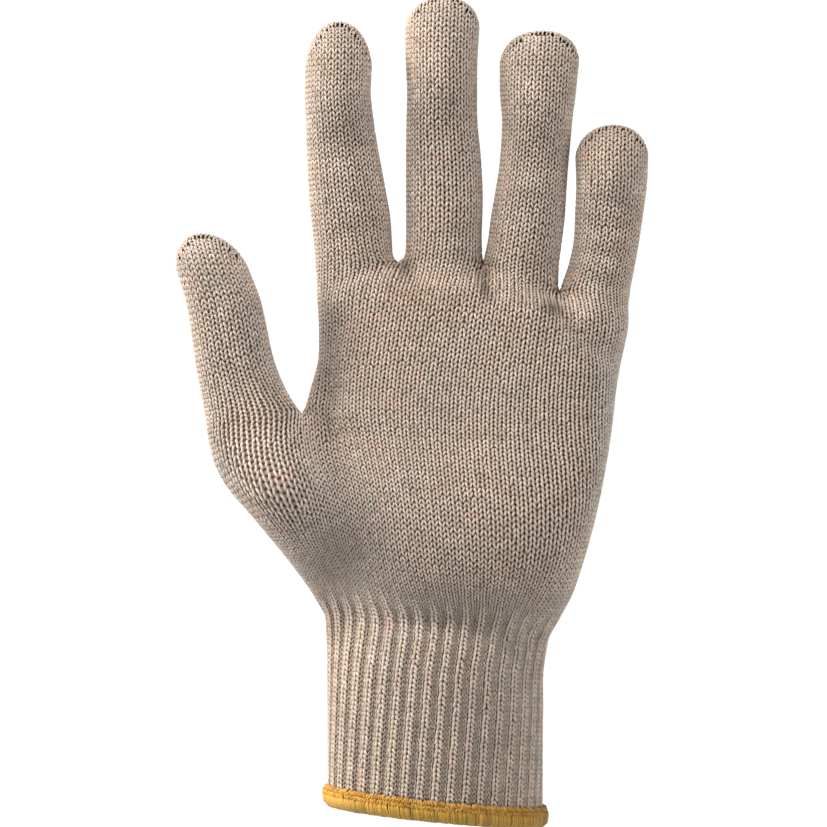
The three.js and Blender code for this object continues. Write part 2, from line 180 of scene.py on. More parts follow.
# Rounded tips: place across and height of the top, how far it comes forward, and how square it is
TIPS = {
    "thumb": (-67.2, 168.5, -15.8, 2.0),
    "index": (-28.1, 230.3, -6.6, 2.0),
    "middle": (2.4, 237.3, -7.2, 2.2),
    "ring": (30.8, 227.5, -7.0, 2.2),
    "little": (51.6, 200.4, -4.8, 2.1),
}
# How far in front of the middle the tip's seam lies, share of the half depth, at the top and the shoulders
SEAM_TOP, SEAM_SHOULDER = 0.30, 0.90
SEAM_PAST = 0.06               # how far over the seam a wale may run, and
SEAM_NEAR = 0.02               # how near to it the inner layer darkens, as angles over the dome
SEAM_GAP = 1.1                 # how far the stitches stop before the seam
SEAM_SHADE = 0.12              # colour of the knit's inner layer in the seam, share of its own
# The crotches between the fingers: place across, height and slant of the slit above
CROTCHES = [(-11.0, 161.2, -0.06), (13.9, 158.4, 0.04), (35.9, 150.6, 0.115)]
THUMB_CROTCH = (-38.9, 117.0, -0.45)
# Outer ends, across and height, of the lines where thumb and hand part and where the fingers start
THUMB_SIDE, HAND_SIDE = (-65.0, 104.6), (51.2, 115.0)
INDEX_SIDE, LITTLE_SIDE = (-34.4, 154.6), (56.2, 146.6)
# The fabric between thumb and palm: the middle of a stretched ball and its radii
THUMB_WEB = ((-35.5, -4.5, 104.5), (7.5, 10.5, 12.6))
PALM_TOP = [(-34.0, 153.0), (-11.0, 160.0), (13.9, 157.2), (35.9, 149.4), (57.0, 144.5)]

# Hollows (inward) and pads (outward, negative) of the front: across, height, reach across, reach up,
# depth, turn in degrees
FRONT_FORMS = [
    (-28.0, 67.0, 16.0, 14.0, 6.9, -24.0),
    (35.0, 51.0, 13.0, 12.0, 5.2, 20.0),
    (5.0, 58.0, 18.0, 7.0, 2.4, 0.0),
    (-42.0, 102.0, 12.0, 12.0, -1.0, 0.0),
    (-46.0, 91.0, 14.0, 12.0, -4.6, -20.0),
    (47.0, 104.0, 10.0, 24.0, -2.6, -8.0),
    (10.0, 112.0, 15.0, 22.0, 0.9, 8.0),
    (-31.5, 126.0, 4.0, 16.0, 3.0, 0.0),
    (-27.5, 142.0, 4.0, 5.0, 1.4, -35.0),
    (-30.0, 123.0, 4.5, 4.0, 1.6, 30.0),
    (-22.0, 148.0, 9.5, 6.0, -0.5, 0.0),
    (2.0, 149.0, 10.0, 6.0, -0.6, 0.0),
    (25.0, 144.0, 9.5, 6.0, -0.8, -12.0),
    (43.5, 128.0, 9.0, 6.0, -1.0, -40.0),
    (26.0, 159.0, 9.0, 5.0, 0.9, -10.0),
    (-28.0, 208.0, 9.0, 9.0, -2.8, 0.0),
    (-26.5, 194.0, 9.0, 5.0, 0.9, 0.0),
    (-24.0, 168.0, 9.0, 5.0, 1.1, 6.0),
    (2.0, 213.0, 10.0, 9.5, -2.9, 0.0),
    (4.5, 193.0, 6.0, 12.0, 1.3, 0.0),
    (3.0, 168.0, 10.0, 4.0, 0.9, 0.0),
    (30.5, 205.0, 10.0, 9.0, -2.6, 0.0),
    (29.0, 190.0, 10.0, 5.0, 0.8, 0.0),
    (26.0, 177.0, 10.0, 4.0, 1.0, -8.0),
    (51.5, 185.0, 8.0, 7.0, -1.8, 0.0),
    (53.0, 178.0, 7.0, 3.0, 0.9, -10.0),
    (51.5, 171.0, 8.0, 2.6, 1.2, -8.0),
    (50.0, 162.0, 8.0, 2.4, 1.2, -14.0),
    (47.5, 155.0, 7.0, 2.0, 1.0, -20.0),
    (46.0, 148.0, 6.0, 4.0, -0.8, -20.0),
    (-64.0, 150.0, 3.0, 14.0, 0.8, 12.0),
    (-58.0, 131.0, 3.6, 13.0, 1.4, 22.0),
    (-52.0, 113.0, 3.0, 9.0, 1.0, 30.0),
    (-45.0, 120.0, 4.0, 7.0, 0.9, 30.0),
]
# Folds: a line of across and height, left to right, with the depth and the reach below and above it
FOLDS = [
    ([(-34.0, 150.5), (-31.0, 153.0), (-25.0, 156.6), (-17.6, 158.6), (-10.8, 160.2), (-1.3, 156.6), (8.0, 155.6),
      (13.6, 156.6), (18.5, 151.8), (27.0, 150.6), (35.0, 148.2), (38.9, 141.5), (44.0, 136.6), (52.0, 131.5)],
     1.5, 1.9, 5.5),
    ([(-33.5, 109.0), (-27.0, 111.5)], 0.8, 2.6, 2.6),
    ([(-10.8, 161.0), (-9.4, 158.0), (-6.8, 155.6)], 2.4, 1.9, 1.9),
    ([(13.4, 160.0), (14.1, 154.3), (16.5, 150.6)], 2.2, 1.9, 1.9),
    ([(33.9, 150.4), (35.4, 147.4), (38.4, 144.6)], 2.2, 1.9, 1.9),
]


class Table:
    """Rows of sections, read at any height through a smooth curve."""

    def __init__(self, rows, step=0.25):
        rows = np.array(rows, float)
        z = rows[:, 0]
        self.z = np.arange(z[0], z[-1] + step / 2, step)
        index = np.clip(np.searchsorted(z, self.z, side="right") - 1, 0, len(z) - 2)
        width = z[index + 1] - z[index]
        t = (self.z - z[index]) / width
        self.columns = []
        for k in range(1, rows.shape[1]):
            value = rows[:, k]
            slope = np.gradient(value, z)
            self.columns.append(
                value[index] * (2 * t ** 3 - 3 * t ** 2 + 1) + value[index + 1] * (3 * t ** 2 - 2 * t ** 3)
                + slope[index] * width * (t ** 3 - 2 * t ** 2 + t) + slope[index + 1] * width * (t ** 3 - t ** 2))

    def at(self, z):
        return [np.interp(z, self.z, column) for column in self.columns]


palm_table = Table(PALM_ROWS)
thumb_table = Table(THUMB_ROWS)
finger_tables = {name: Table(rows) for name, rows in FINGER_ROWS.items()}


def tube_distance(table, x, y, z, square=2.0):
    """About how far a point lies outside a tube of oval sections, or squarer ones."""
    left, right, deep, middle = table.at(z)
    half = (right - left) / 2
    u = np.abs(x - (left + right) / 2) / half
    v = np.abs(y - middle) / deep
    total = u ** square + v ** square + 1e-6
    slope = np.hypot(u ** (square - 1) / half, v ** (square - 1) / deep) + 1e-9
    return (total ** (1 / square) - 1) * total ** (1 - 1 / square) / slope


def ball_distance(ball, x, y, z):
    """About how far a point lies outside a stretched ball, given by its middle and its three radii."""
    place, radii = ball
    parts = [(value - middle) / radius for value, middle, radius in zip((x, y, z), place, radii)]
    k = np.sqrt(sum(part ** 2 for part in parts)) + 1e-6
    return (k - 1) * k / (np.sqrt(sum((part / radius) ** 2 for part, radius in zip(parts, radii))) + 1e-9)


def above(z, table):
    """Closes a tube off below its first section."""
    return table.z[0] - z


def smooth_step(share):
    share = np.clip(share, 0, 1)
    return share * share * (3 - 2 * share)


def unit(vectors):
    return vectors / np.maximum(np.linalg.norm(vectors, axis=-1, keepdims=True), 1e-9)


def soft_min(a, b, k):
    h = np.maximum(k - np.abs(a - b), 0) / k
    return np.minimum(a, b) - h * h * k / 4


def front_press(x, z):
    press = np.zeros_like(x)
    for across, height, wide, high, depth, turn in FRONT_FORMS:
        cos, sin = math.cos(math.radians(turn)), math.sin(math.radians(turn))
        dx, dz = x - across, z - height
        press += depth * np.exp(-((dx * cos + dz * sin) / wide) ** 2 - ((dz * cos - dx * sin) / high) ** 2)
    for line, depth, below, over in FOLDS:
        nearest, reach = np.full_like(x, 1e9), np.full_like(x, below)
        for (x0, z0), (x1, z1) in zip(line, line[1:]):
            along = ((x - x0) * (x1 - x0) + (z - z0) * (z1 - z0)) / ((x1 - x0) ** 2 + (z1 - z0) ** 2)
            along = np.clip(along, 0, 1)
            gap = (x - x0 - along * (x1 - x0)) ** 2 + (z - z0 - along * (z1 - z0)) ** 2
            side = (x1 - x0) * (z - z0) > (z1 - z0) * (x - x0)
            reach = np.where(gap < nearest, np.where(side, over, below), reach)
            nearest = np.minimum(nearest, gap)
        press += depth * np.exp(-nearest / reach ** 2)
    return press


def front_weight(x, y, z):
    """1 on the front, falling to 0 towards the middle of the depth."""
    hand = np.interp(z, [160, 235], [0, -5.5])
    thumb = np.interp(z, [60, 80, 117, 165], [0, -1.5, -8, -14])
    middle = hand + (thumb - hand) * np.clip((-36 - x) / 8, 0, 1)
    return smooth_step((middle - y) / 8)


def pressed(points):
    """Tube points with the front's hollows and pads."""
    x, y, z = points[..., 0], points[..., 1].copy(), points[..., 2]
    press = front_press(x, z)
    for _ in range(3):
        y = points[..., 1] + press * front_weight(x, y, z)
    return np.stack([x, y, z], axis=-1)


def body(points):
    """The glove's surface is where this is 0: palm, thumb and fingers flow into each other."""
    x, y, z = points[..., 0], points[..., 1], points[..., 2]
    y = y - front_press(x, z) * front_weight(x, y, z)
    palm = tube_distance(palm_table, x, y, z, np.interp(z, [52, 66, 140, 160], [2, PALM_SQUARE, PALM_SQUARE, 2]))
    tops = np.array(PALM_TOP)
    palm = -soft_min(-palm, np.interp(x, tops[:, 0], tops[:, 1]) - z, TOP_BLEND)
    whole = soft_min(palm, tube_distance(thumb_table, x, y, z), np.interp(z, *THUMB_BLEND))
    whole = soft_min(whole, ball_distance(THUMB_WEB, x, y, z), WEB_BLEND)
    digits = None
    for name in FINGERS:
        one = np.maximum(tube_distance(finger_tables[name], x, y, z), above(z, finger_tables[name]))
        digits = one if digits is None else soft_min(digits, one, FINGER_BLEND)
    return soft_min(whole, digits, ROOT_BLEND)


def settle(points, steps=1):
    """Moves points along the slope onto the surface."""
    e = 0.05
    for _ in range(steps):
        value = body(points)
        slope = np.stack([(body(points + shift) - value) / e for shift in np.eye(3) * e], axis=-1)
        size = np.maximum((slope ** 2).sum(-1, keepdims=True), 0.2)
        points = points - np.clip(value, -3, 3)[..., None] * slope / size
    return points


def even_angles(half_width, half_depth, count):
    """Angles of points evenly spaced along the front half of an oval, left to right."""
    fine = np.linspace(0, math.pi, 181)
    x, y = -half_width * np.cos(fine), half_depth * np.sin(fine)
    length = np.concatenate([[0], np.cumsum(np.hypot(np.diff(x), np.diff(y)))])
    return np.interp(np.linspace(0, length[-1], count + 1), length, fine)


def seam_turn(across):
    """Angle over a fingertip's dome at which its seam lies, by the place across."""
    return np.arccos(SEAM_TOP + (SEAM_SHOULDER - SEAM_TOP) * np.abs(across) ** 1.3)


def oval_ring(left, right, deep, middle, z, slope, count):
    """A ring of 2 * count nodes: from the left side over the front to the right, and back behind."""
    half = (right - left) / 2
    angle = even_angles(half, deep, count)
    angle = np.concatenate([angle, 2 * math.pi - angle[-2:0:-1]])
    x = -half * np.cos(angle)
    return np.stack([(left + right) / 2 + x, middle - deep * np.sin(angle), z + slope * x], axis=1)


def tube_ring(table, z, slope, count):
    """A sloping ring of nodes on a tube of sections."""
    left, right, deep, middle = (float(v) for v in table.at(z))
    ring = oval_ring(left, right, deep, middle, z, slope, count)
    cos, sin = (ring[:, 0] - (left + right) / 2) / (right - left) * 2, (middle - ring[:, 1]) / deep
    for _ in range(3):
        left_at, right_at, deep_at, middle_at = table.at(ring[:, 2])
        ring[:, 0] = (left_at + right_at) / 2 + (right_at - left_at) / 2 * cos
        ring[:, 1] = middle_at - deep_at * sin
        ring[:, 2] = z + slope * (ring[:, 0] - (left + right) / 2)
    return ring


# The lattice: every knitted tube is an array of nodes [wale, course], and tubes share nodes where they meet
def digit_lattice(name, table, root_height, root_slope, top_slope):
    count = WALES[name]
    start = table.z[-1]
    tip_x, tip_z, tip_y, blunt = TIPS[name]
    rows = max(int(round((start - root_height) / COURSE)), 4)
    rings = []
    for row in range(rows + 1):
        share = row / rows
        z = root_height + (start - root_height) * share
        slope = root_slope + (top_slope - root_slope) * min(row / RELAX_ROWS, 1)
        slope *= 1 - max(row / rows - 0.75, 0) * 4
        rings.append(tube_ring(table, z, slope, count))
    left, right, deep, middle = (float(v) for v in table.at(start))
    half = (right - left) / 2
    angle = even_angles(half, deep, count)
    xi = np.concatenate([-np.cos(angle), np.cos(angle[1:-1])])
    side = np.concatenate([np.ones(count + 1), -np.ones(count - 1)])
    side[[0, count]] = 0
    high = (1 - np.abs(xi) ** blunt) ** (1 / blunt) * (tip_z - start)
    thick = np.sqrt(np.clip(1 - xi ** 2, 0, 1)) * deep
    centre_x = (left + right) / 2

    def dome_point(across, turn, side=1):
        """A point of the dome, by its place across and its angle over the top, on the front or the back."""
        across = np.clip(across, -1, 1)
        rise = (1 - np.abs(across) ** blunt) ** (1 / blunt) * (tip_z - start) * np.sin(turn)
        share = rise / (tip_z - start)
        return np.stack([centre_x + (tip_x - centre_x) * share + half * across,
                         middle + (tip_y - middle) * share - side * np.sqrt(1 - across ** 2) * deep * np.cos(turn),
                         start + rise], axis=-1)

    # A wale runs on over the dome as far as its own arc is long, to the seam and a little past it
    arc = math.pi / 2 * np.sqrt((high ** 2 + thick ** 2) / 2)
    dome_rows = int(np.ceil(arc.max() * 1.45 / COURSE))
    beta = np.outer(np.arange(1, dome_rows + 1) * COURSE, 1 / np.maximum(arc, 0.05)) * math.pi / 2
    stop = np.where(side > 0, seam_turn(xi), math.pi - seam_turn(xi))
    past = beta - stop[None, :] + SEAM_GAP * (math.pi / 2 / np.maximum(arc, 0.6))[None, :]
    beta = np.minimum(beta, stop[None, :] + SEAM_PAST)
    dome = dome_point(xi[None, :], beta, side[None, :])
    nodes = pressed(np.concatenate([np.array(rings), dome]).transpose(1, 0, 2))
    valid = np.ones((2 * count, nodes.shape[1] - 1), bool)
    ended = past > 0
    both = ended & np.roll(ended, -1, axis=1)
    valid[:, rows:] = ~both.T
    # painted shade of the inner layer in the gap along the tip's seam
    dark = np.ones((2 * count, nodes.shape[1]))
    dark[:, rows + 1:] = np.where(past > -SEAM_NEAR, SEAM_SHADE, 1.0).T
    return {"nodes": nodes, "valid": valid, "root": root_height, "slope": root_slope, "dome_point": dome_point,
            "dark": dark}


def slit_floor(x, z, slant, middle):
    """The highest point of the web on a slit's line."""
    heights = np.arange(z + 12, z - 12, -0.1)
    line = np.stack([x + slant * (heights - z), np.full_like(heights, middle), heights], axis=1)
    inside = np.nonzero(body(line) < 0)[0]
    return line[inside[0]] if len(inside) else line[len(line) // 2]


crotch_points = [slit_floor(x, z, slant, 1.8) for x, z, slant in CROTCHES]
thumb_crotch = slit_floor(*THUMB_CROTCH, -3.0)

root_sides = [INDEX_SIDE] + [(p[0], p[2]) for p in crotch_points] + [LITTLE_SIDE]
digits = {}
for number, name in enumerate(FINGERS):
    (x0, z0), (x1, z1) = root_sides[number], root_sides[number + 1]
    slant = (TIPS[name][0] - (x0 + x1) / 2) / (TIPS[name][1] - (z0 + z1) / 2)
    digits[name] = digit_lattice(name, finger_tables[name], (z0 + z1) / 2, (z1 - z0) / (x1 - x0), -slant)
thumb_slope = (thumb_crotch[2] - THUMB_SIDE[1]) / (thumb_crotch[0] - THUMB_SIDE[0])
digits["thumb"] = digit_lattice("thumb", thumb_table, (THUMB_SIDE[1] + thumb_crotch[2]) / 2, thumb_slope, 0.26)


wrist_ring = pressed(tube_ring(palm_table, WRIST_HEIGHT, CUFF_SLOPE, ALL_WALES))
# Where thumb and hand part: half depths and middles of the two ovals there
SPLIT_THUMB, SPLIT_HAND = (14.0, -7.5), (16.6, 0.4)
split_left = oval_ring(THUMB_SIDE[0], thumb_crotch[0], *SPLIT_THUMB, (THUMB_SIDE[1] + thumb_crotch[2]) / 2,
                       thumb_slope, THUMB_SHARED)
split_right = oval_ring(thumb_crotch[0], HAND_SIDE[0], *SPLIT_HAND, (thumb_crotch[2] + HAND_SIDE[1]) / 2,
                        (HAND_SIDE[1] - thumb_crotch[2]) / (HAND_SIDE[0] - thumb_crotch[0]), SHARED["palm4"])


def joined_ring(rings, counts):
    """One ring over several tubes side by side: their fronts left to right, then their backs."""
    fronts = [ring[:count + 1] for ring, count in zip(rings, counts)]
    backs = [np.roll(ring, -count, axis=0)[:count + 1] for ring, count in zip(rings, counts)]
    front = np.concatenate([part[:-1] for part in fronts] + [fronts[-1][-1:]])
    back = np.concatenate([part[1:] for part in backs[::-1]])[:-1]
    return np.concatenate([front, back])


split_ring = joined_ring([split_left, split_right], [THUMB_SHARED, SHARED["palm4"]])
roots_ring = joined_ring([tube_ring(finger_tables[name], digits[name]["root"], digits[name]["slope"],
                                    SHARED[name]) for name in FINGERS], [SHARED[name] for name in FINGERS])


def panel_between(low, high, courses):
    share = np.linspace(0, 1, courses + 1)[None, :, None]
    return low[:, None, :] * (1 - share) + high[:, None, :] * share


# Shared numbering of the nodes that settle together
ids = {}
points = []
between = []                   # nodes held between two others, where wales start at a crotch


def add_nodes(key, nodes, first):
    """Numbers a tube's nodes above its first row."""
    table = np.zeros((nodes.shape[0], nodes.shape[1]), int)
    table[:, 0] = first
    for course in range(1, nodes.shape[1]):
        table[:, course] = len(points) + np.arange(nodes.shape[0])
        points.extend(nodes[:, course])
    ids[key] = table
    return table


def started(low, high, count):
    """New nodes on the line between two nodes, for wales that start there."""
    made = []
    for k in range(1, count + 1):
        between.append((len(points), low, high, k / (count + 1)))
        made.append(len(points))
        points.append(points[low] * (1 - k / (count + 1)) + points[high] * k / (count + 1))
    return made


def first_row(name, front, back):
    """A tube's first ring from shared front nodes, left to right, and shared back nodes, right to left,
    both from corner to corner, with the wales that start at its crotches."""
    left, right = STARTED[name]
    front, back = list(front), list(back)
    row = front[:1] + started(front[0], front[1], left) + front[1:-1] + started(front[-2], front[-1], right)
    row += [front[-1]] + started(back[0], back[1], right) + back[1:-1] + started(back[-2], back[-1], left)
    return np.array(row)


wrist_ids = np.arange(2 * ALL_WALES)
points.extend(wrist_ring)
five = add_nodes("palm5", panel_between(wrist_ring, split_ring, PALM5_COURSES), wrist_ids)
crotch_back = 2 * ALL_WALES - THUMB_SHARED
five[crotch_back, -1] = five[THUMB_SHARED, -1]
top = np.append(five[:, -1], five[0, -1])
thumb_row = first_row("thumb", top[:THUMB_SHARED + 1], top[crotch_back:])
hand_row = first_row("palm4", top[THUMB_SHARED:ALL_WALES + 1], top[ALL_WALES:crotch_back + 1])
hand_ring = np.array([points[k] for k in hand_row])
four = add_nodes("palm4", panel_between(hand_ring, roots_ring, PALM4_COURSES), hand_row)
edges = np.cumsum([0] + [SHARED[name] for name in FINGERS])
for edge in edges[1:-1]:
    four[2 * HAND_WALES - edge, -1] = four[edge, -1]
top4 = np.append(four[:, -1], four[0, -1])
for number, name in enumerate(FINGERS):
    low, high = edges[number], edges[number + 1]
    row = first_row(name, top4[low:high + 1], top4[2 * HAND_WALES - high:2 * HAND_WALES - low + 1])
    add_nodes(name, digits[name]["nodes"][:, :RELAX_ROWS + 1], row)
add_nodes("thumb", digits["thumb"]["nodes"][:, :RELAX_ROWS + 1], thumb_row)

points = np.array(points)
fixed = np.zeros(len(points), bool)
fixed[five[:, 0]] = True
for name in digits:
    fixed[ids[name][:, -1]] = True
for point, edge in zip(crotch_points, edges[1:-1]):
    points[four[edge, -1]] = point
    fixed[four[edge, -1]] = True
points[top[THUMB_SHARED]] = thumb_crotch
fixed[top[THUMB_SHARED]] = True
held, held_low, held_high = (np.array([row[k] for row in between]) for k in range(3))
held_share = np.array([row[3] for row in between])[:, None]
links = []
for table in ids.values():
    links.append(np.stack([table.ravel(), np.roll(table, -1, axis=0).ravel()], axis=1))
    links.append(np.stack([table[:, :-1].ravel(), table[:, 1:].ravel()], axis=1))
links = np.unique(np.sort(np.concatenate(links), axis=1), axis=0)
links = links[links[:, 0] != links[:, 1]]
degree = np.bincount(links.ravel(), minlength=len(points)).astype(float)
for step in range(RELAX_STEPS):
    total = np.zeros_like(points)
    for axis in range(3):
        total[:, axis] += np.bincount(links[:, 0], points[links[:, 1], axis], minlength=len(points))
        total[:, axis] += np.bincount(links[:, 1], points[links[:, 0], axis], minlength=len(points))
    moved = points + RELAX_PULL * (total / np.maximum(degree, 1)[:, None] - points)
    moved = np.where(fixed[:, None], points, moved)
    points = np.where(fixed[:, None], points, settle(moved)) if step % 2 else moved
    points[held] = points[held_low] * (1 - held_share) + points[held_high] * held_share
points = np.where(fixed[:, None], points, settle(points, 3))
palm5 = points[five]
palm4 = points[four]
for name in digits:
    digits[name]["nodes"][:, :RELAX_ROWS + 1] = points[ids[name]]


def lattice_normals(nodes, rounds):
    """Normals of a closed lattice, evened out over its neighbours a number of times."""
    across = np.roll(nodes, -1, axis=0) - np.roll(nodes, 1, axis=0)
    field = unit(np.cross(across, np.gradient(nodes, axis=1)))
    for _ in range(rounds):
        padded = np.concatenate([field[:, :1], field, field[:, -1:]], axis=1)
        field = (np.roll(field, 1, 0) + np.roll(field, -1, 0) + padded[:, 2:] + padded[:, :-2] + 2 * field) / 6
    return unit(field)


# Yarn: one leg is a strip of three faces round the top of the yarn
LEG_RINGS = 4
LEG_SIDES = 4
LEG_ANGLES = np.radians([-100, -36, 36, 100])
# The left leg of an inverted V: across and up are shares of the stitch, height above the middle in mm
LEG_PATH = [(0.400, 1.10, -0.34), (0.338, 0.78, 0.13), (0.162, 0.22, 0.13), (0.100, -0.10, -0.34)]
# In a rib the left legs stand nearly upright and the right legs, given mirrored, lie over
RIB_LEFT = [(0.300, 1.18, -0.32), (0.285, 0.80, 0.14), (0.240, 0.22, 0.14), (0.210, -0.16, -0.32)]
RIB_RIGHT = [(0.460, 1.06, -0.36), (0.400, 0.78, 0.16), (0.150, 0.24, 0.16), (0.070, -0.08, -0.36)]
RIB_YARN_WIDE = 0.182
STEEP_FROM = 2.1               # in stitches wider than this the legs stand steeper
THICK_TO = 2.5                 # and in stitches wider than this they don't grow thicker
LEG_WOBBLE = 0.05              # how unevenly the legs lie, share of the stitch
LEG_WIDTHS = np.array([0.85, 1.0, 1.0, 0.85])      # along the leg
# LEG_SHADE and the next factor are painted shade: the legs darker at their deep ends and at their sides, their
# middle a little lighter
LEG_SHADE = np.array([0.46, 1.04, 1.04, 0.52])     # colour factor along the leg: its ends lie deep
LEG_SIDE_SHADE = np.array([0.90, 1.0, 1.0, 0.90])         # and round it
# A bar across a fingertip's seam: over the seam, beside it and out from it, in mm
SEAM_PATH = [(-1.0, -0.15, -0.55), (-0.45, -0.08, 0.12), (0.45, 0.08, 0.12), (1.0, 0.15, -0.55)]
SEAM_PITCH = 1.25
TIP_TIGHT = 0.12               # how much thicker the yarn lies at the tips
SEAM_MAP_TOP = 1.0             # where the seam's bars start on a finger's map, above its stitches
SEAM_BAR_HALF = 0.24           # half width of a bar
TIP_ZONE, TIP_FADE = 30, 22    # how far below the top a tip starts, and over what height it comes in


def cell_frames(nodes, normals):
    """Corners and normals of every stitch's cell."""
    def corners(field):
        right = np.roll(field, -1, axis=0)
        return field[:, :-1], right[:, :-1], field[:, 1:], right[:, 1:]
    return corners(nodes), corners(normals)


def blend_cells(corners, u, v):
    a, b, c, d = corners
    return ((1 - u) * (1 - v))[..., None] * a + (u * (1 - v))[..., None] * b + \
        ((1 - u) * v)[..., None] * c + (u * v)[..., None] * d


def yarn_strips(path, normal, half_wide, half_tall):
    """Strips of yarn along paths [..., ring, 3] with the surface's normal at each ring."""
    tangent = np.gradient(path, axis=-2)
    side = unit(np.cross(normal, tangent))
    lift = unit(np.cross(tangent, side))
    sin, cos = np.sin(LEG_ANGLES), np.cos(LEG_ANGLES)
    return path[..., None, :] + side[..., None, :] * (half_wide[..., None] * sin)[..., None] + \
        lift[..., None, :] * (half_tall[..., None] * cos)[..., None]


def strip_faces(count, rings, sides, first=0):
    strip = np.arange(count)[:, None, None] * rings * sides
    ring = np.arange(rings - 1)[None, :, None] * sides
    side = np.arange(sides - 1)[None, None, :]
    a = first + strip + ring + side
    return np.stack([a, a + 1, a + sides + 1, a + sides], axis=-1).reshape(-1, 4)


def make_mesh(name, verts_mm, faces, colours, corner_maps):
    """A smooth mesh of quads, with a colour for each point, and maps that give each corner its place."""
    mesh = bpy.data.meshes.new(name)
    mesh.vertices.add(len(verts_mm))
    mesh.vertices.foreach_set("co", (verts_mm * MM).astype(np.float32).ravel())
    mesh.loops.add(faces.size)
    mesh.loops.foreach_set("vertex_index", faces.astype(np.int32).ravel())
    mesh.polygons.add(len(faces))
    mesh.polygons.foreach_set("loop_start", np.arange(0, faces.size, faces.shape[1], dtype=np.int32))
    mesh.polygons.foreach_set("use_smooth", np.ones(len(faces), bool))
    mesh.update(calc_edges=True)
    attribute = mesh.attributes.new("YarnColour", "FLOAT_COLOR", "POINT")
    rgba = np.concatenate([colours, np.ones((len(colours), 1))], axis=1)
    attribute.data.foreach_set("color", rgba.astype(np.float32).ravel())
    for title, places in corner_maps.items():
        layer = mesh.uv_layers.new(name=title)
        layer.data.foreach_set("uv", places.astype(np.float32).ravel())
    mesh.validate()
    thing = bpy.data.objects.new(name, mesh)
    bpy.context.scene.collection.objects.link(thing)
    return thing


def mesh_of_knit(name, knit):
    """One mesh of strips of yarn. A knit is a list of their points, colours, map places and yarn places,
    each an array [strip, ring, side, value]."""
    faces, first = [], 0
    for strips, *_ in knit:
        faces.append(strip_faces(*strips.shape[:3], first))
        first += strips[..., 0].size
    faces = np.concatenate(faces)
    verts, colours, places, alongs = (
        np.concatenate([field.reshape(-1, field.shape[-1]) for field in fields]) for fields in zip(*knit))
    flat = faces.ravel()
    return make_mesh(name, verts, faces, colours, {"OFBake": places[flat], "Yarn": alongs[flat]})


def add_threads(knit, path, normal, half, colour, rings, heights, sides):
    """Adds threads along paths [thread, ring, 3], each with its own strip of the map: rings gives how far
    the yarn has run at each ring, heights the ring's height on the map, and sides the places across."""
    count = len(path)
    half = np.full(path.shape[:2], half)
    strips = yarn_strips(path, normal, half, half)
    colour = np.clip(colour * np.ones(strips.shape[:-1] + (1,)), 0, 0.95)
    thread = np.arange(count)[:, None, None]
    rings, heights, sides = rings[None, :, None], heights[None, :, None], sides[None, None, :]
    place = np.stack(np.broadcast_arrays((thread + sides) / count, heights), axis=-1)
    along = np.stack(np.broadcast_arrays(rings + 0 * thread, sides), axis=-1)
    knit.append((strips, colour, place, along))


# Colours of the yarn, linear
BASE = np.array([0.470, 0.378, 0.309])
PALE = np.array([0.60, 0.525, 0.455])
PINK = np.array([0.53, 0.33, 0.27])
GREEN = np.array([0.36, 0.36, 0.27])
GREY = np.array([0.34, 0.31, 0.28])
# The knit's inner layer: a dark brown that is painted shade in the holes between the stitches
SHADED_GROUND = np.array([0.175, 0.114, 0.075])
# Flecks in the yarn: colour, share of stitches that start one, its length in stitches, how strong it is
FLECKS = [(PALE, 0.04, 2, 0.30), (PINK, 0.03, 2, 0.45), (GREEN, 0.03, 2, 0.40), (GREY, 0.03, 2, 0.25)]
# Soft patches of the front, for knots between the fingers and for light and shade: across,
# height, reach across, reach up, factor of the yarn's colour
# The knots are the yarn's own colour; every other patch is painted shade, or painted light where its factor is above
# 1
KNOTS_AND_PAINTED_SHADING = [
    (-8.8, 159.6, 2.6, 2.4, (0.30, 0.28, 0.24)),
    (14.0, 157.5, 1.8, 2.4, (0.42, 0.40, 0.37)),
    (14.5, 153.4, 2.2, 2.8, (0.42, 0.40, 0.37)),
    (33.8, 147.3, 3.0, 2.2, (0.38, 0.35, 0.30)),
    (4.0, 150.0, 32.0, 9.0, (0.96, 0.92, 0.90)),
    (-9.5, 154.0, 6.5, 6.5, (0.86, 0.81, 0.78)),
    (-28.0, 79.0, 17.0, 14.0, (0.80, 0.86, 0.94)),
    (7.0, 61.0, 24.0, 7.0, (0.89, 0.94, 0.98)),
    (32.0, 62.0, 9.0, 9.0, (0.82, 0.84, 0.86)),
    (-31.3, 138.0, 4.5, 20.0, (0.86, 0.91, 0.95)),
    (-62.5, 97.0, 5.0, 11.0, (0.84, 0.90, 0.97)),
    (49.6, 119.4, 4.0, 22.0, (0.98, 1.06, 1.11)),
    (-52.0, 103.0, 13.0, 17.0, (1.17, 1.20, 1.24)),
    (17.0, 28.0, 25.0, 40.0, (0.84, 0.85, 0.84)),
]


def stitch_colours(wales, courses):
    """One colour a stitch: mottled yarn whose flecks run on for a few stitches along a course."""
    def runs(odds, length):
        start = rng.random((wales, courses)) < odds
        field = start.astype(float)
        for shift in range(1, length):
            field = np.maximum(field, np.roll(start, shift, axis=0) * (rng.random((wales, courses)) < 0.75))
        return field[..., None]
    tone = 1 + 0.055 * rng.standard_normal((wales, courses, 1))
    tone = tone + 0.035 * np.roll(rng.standard_normal((wales, courses, 1)), 1, axis=0)
    colour = BASE * tone
    for tint, odds, length, amount in FLECKS:
        mask = runs(odds, length) * amount
        colour = colour * (1 - mask) + tint * mask
    return np.clip(colour, 0.02, 0.95)


